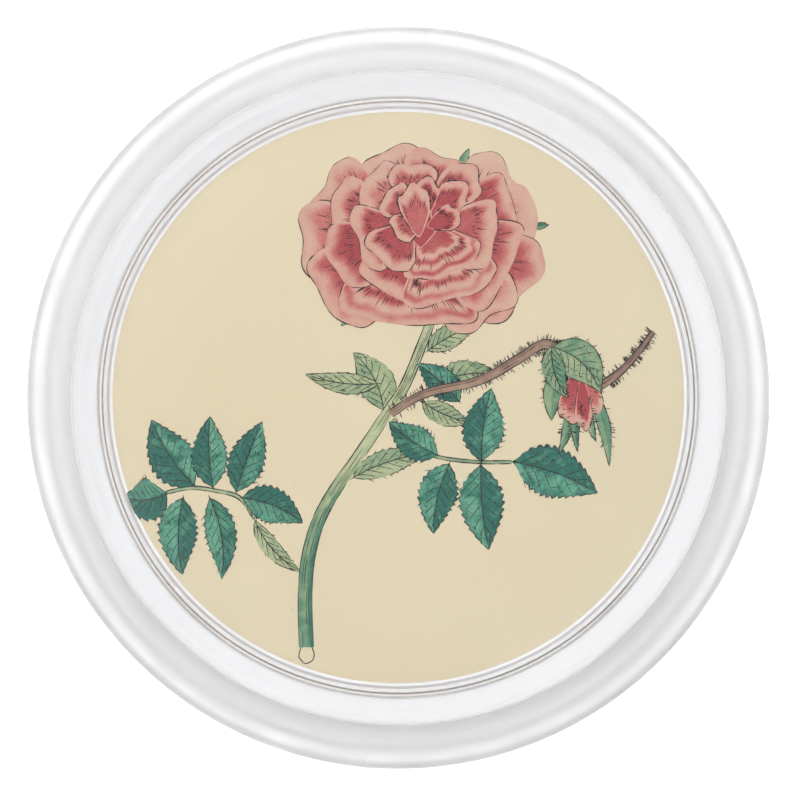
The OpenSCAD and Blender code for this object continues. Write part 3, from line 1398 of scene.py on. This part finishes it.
@dataclass
class SealRing:
    """The soft ring under the lid's edge."""

    inner: float = 46.25 * MM
    skirt: float = 47.45 * MM
    soft: float = 0.15 * MM

    def build(self) -> bpy.types.Object:
        """Builds and dresses the seal.

        Returns:
            The seal's object.
        """
        lowest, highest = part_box("lid_seal")
        low, high, outer = lowest.z, highest.z, highest.x
        step = high - 0.8 * MM
        s = self.soft
        profile = [
            *arc((self.inner + s, low + s), s, 180, 270, 4),
            *arc((self.skirt - 2 * s, low + 2 * s), 2 * s, -90, 0, 6),
            (self.skirt, step),
            *arc((outer - s, step + s), s, -90, 0, 4), *arc((outer - s, high - s), s, 0, 90, 4),
            *arc((self.inner + s, high - s), s, 90, 180, 4),
        ]
        made = turned(profile, even_turns(192), ring=True).made("mouth_seal", crease=50)
        finish = Silicone("milky_silicone", (0.88, 0.88, 0.895)).material()
        return place(made, finish, "seal", ["lid_seal"])


@dataclass
class Picture:
    """The print: a disc of cream paper with the drawing on it, just under the lid's glass."""

    thickness: float = 0.11 * MM

    def build(self) -> None:
        """Builds and dresses the paper and the drawing's paint and ink."""
        lowest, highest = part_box("print_sheet")
        radius, low = highest.x, lowest.z
        top = low + self.thickness
        bend = 0.02 * MM
        profile = [(0.0, low), (radius - bend, low), (radius, low + bend), (radius, top - bend),
                   (radius - bend, top), (0.5 * radius, top), (0.0, top)]
        sheet = turned(profile, even_turns(256)).made("print_paper", crease=50)
        place(sheet, Paper().material(), "lid", ["print_sheet"])
        drawing = Drawing(top + 0.004 * MM)
        drawing.draw()
        paints = {
            "petals": Wash("rose_wash", ((0.70, 0.48, 0.37), (0.66, 0.36, 0.29), (0.58, 0.18, 0.165),
                                         (0.42, 0.075, 0.085)), 0.5),
            "green": Wash("sap_green_wash", ((0.62, 0.62, 0.38), (0.38, 0.46, 0.27), (0.16, 0.31, 0.19),
                                             (0.045, 0.16, 0.12)), 0.7),
            "teal": Wash("teal_wash", ((0.33, 0.56, 0.41), (0.21, 0.47, 0.33), (0.12, 0.36, 0.25),
                                       (0.035, 0.16, 0.125)), 1.2),
            "brown": Wash("umber_wash", ((0.52, 0.38, 0.26), (0.35, 0.225, 0.165), (0.20, 0.13, 0.105),
                                         (0.10, 0.065, 0.055)), 0.8),
            # Wash of the white margin, also a painted highlight for the bright ring along the dish wall.
            "white": Wash("painted_highlight_margin", ((0.93, 0.93, 0.95), (0.90, 0.90, 0.92)), 0.3),
        }
        for name, wash in paints.items():
            paint = drawing.washes[name].made(f"drawing_{name}", closed=False)
            place(paint, wash.material(), "lid")
        lines = drawing.pen.mesh.made("drawing_lines", closed=False)
        place(lines, Ink().material(), "lid")


@dataclass
class LidBacking:
    """The card behind the print and the flocked lining that faces the powder."""

    nap: float = 0.06 * MM

    def disc(self, name: str, node: str, soft: float) -> bpy.types.Object:
        """Builds a disc in the place of a CAD node.

        Args:
            name: The object's name.
            node: The node.
            soft: Radius that rounds its edge.

        Returns:
            The object.
        """
        lowest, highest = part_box(node)
        radius, low, high = highest.x, lowest.z, highest.z
        profile = [(0.0, low), *((radius * share, low) for share in (0.2, 0.4, 0.6, 0.8)),
                   *arc((radius - soft, low + soft), soft, -90, 0, 5),
                   *arc((radius - soft, high - soft), soft, 0, 90, 5), (0.0, high)]
        return turned(profile, even_turns(192)).made(name, crease=50)

    def build(self) -> None:
        """Builds and dresses both layers."""
        card = self.disc("stiff_card", "backing_card", 0.1 * MM)
        place(card, Board().material(), "lid", ["backing_card"])
        lining = self.disc("flocked_lining", "lid_lining", 0.35 * MM)
        flock = Pile("ivory_flock", (0.66, 0.62, 0.55), (0.55, 0.50, 0.43), 14 * MM, 0.25 * MM)
        place(lining, flock.material(), "lid", ["lid_lining"])


@dataclass
class Puff:
    """The velour puff: pile cup, wadding, gathered satin top, corded piping and a ribbon band."""

    radius: float = 37.0 * MM
    corner: float = 5.5 * MM
    lip: float = 1.0 * MM
    pocket: float = 34.0 * MM
    wall: float = 3.0 * MM
    cover_r: float = 34.1 * MM
    cord: float = 1.3 * MM
    cord_ring: float = 35.5 * MM
    slack: float = 0.5 * MM
    seam_allowance: float = 2.0 * MM
    pleats: int = 46
    fibres: int = 42000
    band_width: float = 16.0 * MM
    band_thick: float = 0.45 * MM
    seed: int = 5

    def build(self) -> None:
        """Builds and dresses the puff's pieces."""
        self._pile()
        self._wadding()
        self._cover()
        self._piping()
        self._band()

    def _pile(self) -> None:
        """The velour cup and the fibres of its pile."""
        lowest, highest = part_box("puff_pile")
        low, seam = lowest.z, highest.z
        inset = 0.3 * MM
        outer = [
            (0.25 * self.radius, low + inset), (0.5 * self.radius, low + inset),
            (0.7 * self.radius, low + inset),
            *arc((self.radius - self.corner, low + self.corner), self.corner - inset, -90, 0, 14),
            *arc((self.radius - self.lip, seam - self.lip), self.lip - inset, 0, 90, 5),
        ]
        profile = [(0.0, low + inset), *outer, (self.pocket, seam - inset), (self.pocket, low + self.wall),
                   (0.0, low + self.wall)]
        backing = turned(profile, even_turns(160)).made("velour_cup", crease=60)
        velour = Pile("ivory_velour", (0.66, 0.61, 0.53), (0.53, 0.48, 0.40)).material()
        place(backing, velour, "puff", ["puff_pile"])
        nap = self._fibres(outer, 0.62 * MM).made("velour_pile", closed=False)
        place(nap, velour, "puff")

    def _fibres(self, profile: Sequence[Point], length: float) -> Mesh:
        """Short leaning fibres all over the surface that profile makes when it is turned.

        Args:
            profile: Points (radius, height) of the surface.
            length: The longest fibre's length.

        Returns:
            The fibres, one triangle each.
        """
        dice = random.Random(self.seed)
        mesh = Mesh()
        spans = list(zip(profile, profile[1:]))
        areas = [(a[0] + b[0]) * math.dist(a, b) for a, b in spans]
        for a, b in dice.choices(spans, areas, k=self.fibres):
            share, turn = dice.random(), dice.uniform(0, FULL_TURN)
            r, z = part_way(a, b, share)
            span = math.dist(a, b)
            nr, nz = (b[1] - a[1]) / span, -(b[0] - a[0]) / span
            out = Vector((nr * math.cos(turn), nr * math.sin(turn), nz))
            side = Vector((-math.sin(turn), math.cos(turn), 0))
            swirl = 0.5 * math.sin(3 * turn + 240 * z) + dice.uniform(-0.45, 0.45)
            lean = (out + swirl * side + dice.uniform(-0.4, 0.4) * side.cross(out)).normalized()
            root = Vector((r * math.cos(turn), r * math.sin(turn), z))
            across = lean.orthogonal().normalized() * 0.045 * MM
            top = root + lean * length * dice.uniform(0.55, 1.0)
            corners = [mesh.point(*(root - across)), mesh.point(*(root + across)), mesh.point(*top)]
            mesh.faces.append(tuple(corners))
        return mesh

    def _wadding(self) -> None:
        """The filling, a crowned round pad."""
        lowest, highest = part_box("puff_core")
        low, top, edge = lowest.z, highest.z, highest.x
        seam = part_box("puff_pile")[1].z
        soft = 0.8 * MM
        profile = [(0.0, low), *arc((edge - soft, low + soft), soft, -90, 0, 6), (edge, seam),
                   *(self._cap(edge - self.slack, seam - self.slack, top - seam, share)
                     for share in (0.05, 0.15, 0.3, 0.5, 0.7, 0.85)),
                   (0.0, top)]
        pad = turned(profile, even_turns(96)).made("wadding", crease=60)
        finish = Pile("cotton_wadding", (0.88, 0.86, 0.81), (0.78, 0.75, 0.69), 4 * MM, 0.6 * MM)
        place(pad, finish.material(), "puff", ["puff_core"])

    def _cap(self, edge: float, low: float, rise: float, share: float) -> Point:
        """A dome's point at share of the way from its edge to its top."""
        x = 1 - share
        return edge * x, low + rise * (1 - x * x) ** 0.8

    def _cover(self) -> None:
        """The satin top, gathered into the seam all round."""
        lowest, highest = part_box("puff_cover")
        low, top = lowest.z, highest.z
        dice = random.Random(self.seed + 1)
        waves = [(self.pleats + dice.randint(-9, 9), dice.uniform(0, FULL_TURN), dice.uniform(0.5, 1.0))
                 for _ in range(5)]
        rings = 40
        mesh = Mesh()
        rows = []
        for k in range(rings + 1):
            share = k / rings
            if k == rings:
                rows.append([mesh.point(0, 0, top - 0.1 * MM)])
                continue
            r, z = self._cap(self.cover_r, low, top - low, share)
            fade = (1 - share) ** 2.2 * smooth_step(0.0, 0.05, share + 0.02)
            row = []
            for turn in even_turns(288):
                fold = sum(size * math.cos(count * turn + start + 2.5 * share)
                           for count, start, size in waves)
                lift = max(0.17 * MM * fade * (fold - 1.2), -self.slack)
                row.append(mesh.point(r * math.cos(turn), r * math.sin(turn), z + lift))
            rows.append(row)
        mesh.grid(rows, joined=True)
        cover = mesh.made("satin_top", closed=False, crease=80)
        satin = Satin("blush_satin", (0.66, 0.46, 0.40), (0.52, 0.34, 0.29), Weave.ALONG_X)
        place(cover, satin.material(), "puff", ["puff_cover"])

    def _piping(self) -> None:
        """The corded piping, with the bias strip's slanting wrinkles."""
        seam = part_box("puff_pile")[1].z
        profile = arc((self.cord_ring, seam + self.cord), self.cord, 0, 360, 24)[:-1]

        def wrinkle(turn: float, k: int) -> float:
            """How far a wrinkle stands out.

            Args:
                turn: The angle.
                k: The place in the profile.

            Returns:
                The wrinkle's height there.
            """
            slant = 150 * turn + FULL_TURN * k / len(profile)
            return 0.05 * MM * math.sin(slant) * (0.6 + 0.4 * math.sin(17 * turn))

        cord = turned(profile, even_turns(900), ring=True, swell=wrinkle).made("corded_piping", crease=80)
        satin = Satin("rose_piping", (0.52, 0.28, 0.25), (0.40, 0.20, 0.175), Weave.ALL_ROUND)
        place(cord, satin.material(), "puff", ["puff_piping"])

    def _band(self) -> None:
        """The ribbon band that the fingers go under, sewn down under the piping at both ends."""
        lowest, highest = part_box("puff_ribbon")
        half, low, top = highest.x, lowest.z, highest.z
        steps, columns = 110, 14
        mesh = Mesh()
        sides = {1: [], -1: []}
        rise = top - low - self.band_thick
        for k in range(steps + 1):
            x = half * (2 * k / steps - 1)
            arch = (1 - abs(x / half) ** 2.2) ** 0.9
            z = low + rise * arch
            for face, rows in sides.items():
                row = []
                for c in range(columns + 1):
                    across = 2 * c / columns - 1
                    y = self.band_width / 2 * across * (0.86 + 0.14 * smooth_step(0.0, 0.3, arch))
                    curl = 0.5 * MM * (abs(across) ** 3 - 0.3) * arch
                    ripple = 0.10 * MM * math.sin(9 * across + 0.4) * math.sin(260 * x + 0.8 * across)
                    pinch = 0.22 * MM * math.cos(11 * across) * (1 - smooth_step(0.0, 0.45, arch))
                    lift = self.band_thick / 2 * face
                    row.append(mesh.point(x, y, z - curl + ripple + pinch + self.band_thick / 2 + lift))
                rows.append(row)
        mesh.grid(sides[1])
        mesh.grid(sides[-1])
        for edge in (0, -1):
            mesh.grid([[row[edge] for row in sides[1]], [row[edge] for row in sides[-1]]])
            mesh.grid([sides[1][edge], sides[-1][edge]])
        band = mesh.made("ribbon_band", crease=60)
        satin = Satin("rose_ribbon", (0.56, 0.30, 0.27), (0.44, 0.22, 0.195), Weave.ALONG_X)
        place(band, satin.material(), "puff", ["puff_ribbon"])
        arch = [(half * (2 * k / steps - 1), self._arch(k / steps, rise)) for k in range(steps + 1)]
        length = sum(math.dist(a, b) for a, b in zip(arch, arch[1:]))

    def _arch(self, share: float, rise: float) -> float:
        """The band's height at share of its span."""
        return rise * (1 - abs(2 * share - 1) ** 2.2) ** 0.9


# ---------------------------------------------------------------- the studio

@dataclass
class Studio:
    """White sweep, soft light from the upper left and a long lens straight above.

    card is the half angle in degrees of the black card round the lens, which keeps flat glass clear
    of reflections. Its edge is card_soft degrees wide.
    """

    sky: float = 2.04
    shade: float = 1.42
    card: float = 9.0
    card_soft: float = 5.0
    card_dark: float = 0.92
    horizon: float = 0.5
    distance: float = 1.6
    view_width: float = 122.56 * MM
    aim: Point = (0.26 * MM, -0.38 * MM)
    sensor: float = 36 * MM
    lamp_at: Point3 = (-0.55, 0.6, 0.9)
    lamp_target: Point3 = (0.0, 0.0, 0.03)
    lamp_size: float = 0.7
    lamp_power: float = 3.4

    def build(self) -> None:
        """Builds the floor, the light and the camera."""
        self._floor()
        self._sky()
        self._lamp()
        self._camera()
        scene = bpy.context.scene
        scene.view_settings.view_transform = "Standard"
        scene.cycles.transmission_bounces = 28
        scene.cycles.max_bounces = 32
        scene.cycles.diffuse_bounces = 6

    def _floor(self) -> None:
        """The sweep that the jar stands on."""
        size = 3.0
        mesh = Mesh()
        ways = ((-1, -1), (1, -1), (1, 1), (-1, 1))
        corners = [mesh.point(x * size, y * size, 0) for x, y in ways]
        mesh.faces.append(tuple(corners))
        floor = mesh.made("sweep", closed=False)
        floor.data.materials.append(StudioFloor().material())

    def _sky(self) -> None:
        """Even light from all round, a little stronger from the upper left."""
        world = bpy.data.worlds.new("studio")
        bpy.context.scene.world = world
        world.use_nodes = True
        bench = Bench(world.node_tree)
        way = bench.node("ShaderNodeTexCoord", out="Generated")
        lean = bench.along(way, (-0.45, 0.5, 0.74))
        colour = bench.mix((0.97, 0.97, 1.0), (1.0, 1.0, 1.0), lean.between(-0.2, 0.9))
        up = bench.along(way, (0.0, 0.0, 1.0))
        inner, outer = math.radians(self.card), math.radians(self.card + self.card_soft)
        card = up.between(math.cos(outer), math.cos(inner))
        strength = self.shade + (self.sky - self.shade) * lean.between(-0.5, 0.8)
        strength = strength * (1 - self.card_dark * card)
        strength = strength * (self.horizon + (1 - self.horizon) * up.between(0.1, 0.7))
        light = bench.node("ShaderNodeBackground", {}, {"Color": colour, "Strength": strength})
        bench.close("ShaderNodeOutputWorld", light)

    def _lamp(self) -> None:
        """A large square soft box at the upper left, pointing at the jar."""
        light = bpy.data.lights.new("key_softbox", "AREA")
        light.size = self.lamp_size
        light.energy = self.lamp_power
        lamp = bpy.data.objects.new("key_softbox", light)
        lamp.location = self.lamp_at
        way = Vector(self.lamp_target) - Vector(self.lamp_at)
        lamp.rotation_euler = way.to_track_quat("-Z", "Y").to_euler()
        bpy.context.scene.collection.objects.link(lamp)

    def _camera(self) -> None:
        """The camera, straight above the jar with +Y up."""
        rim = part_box("jar_glass")[1].z
        camera = bpy.data.objects.new("camera", bpy.data.cameras.new("camera"))
        camera.data.sensor_width = self.sensor / MM
        camera.data.lens = self.sensor / MM * (self.distance - rim) / self.view_width
        camera.location = (*self.aim, self.distance)
        bpy.context.scene.collection.objects.link(camera)
        bpy.context.scene.camera = camera


def main() -> None:
    """Builds the jar, piece by piece, and the studio round it."""
    logging.basicConfig(level=logging.INFO, format="%(message)s")
    Studio().build()
    JarGlass().build()
    BumperFeet().build()
    LidGlass().build()
    Picture().build()
    LidBacking().build()
    SealRing().build()
    Puff().build()


if __name__ == "__main__":
    main()
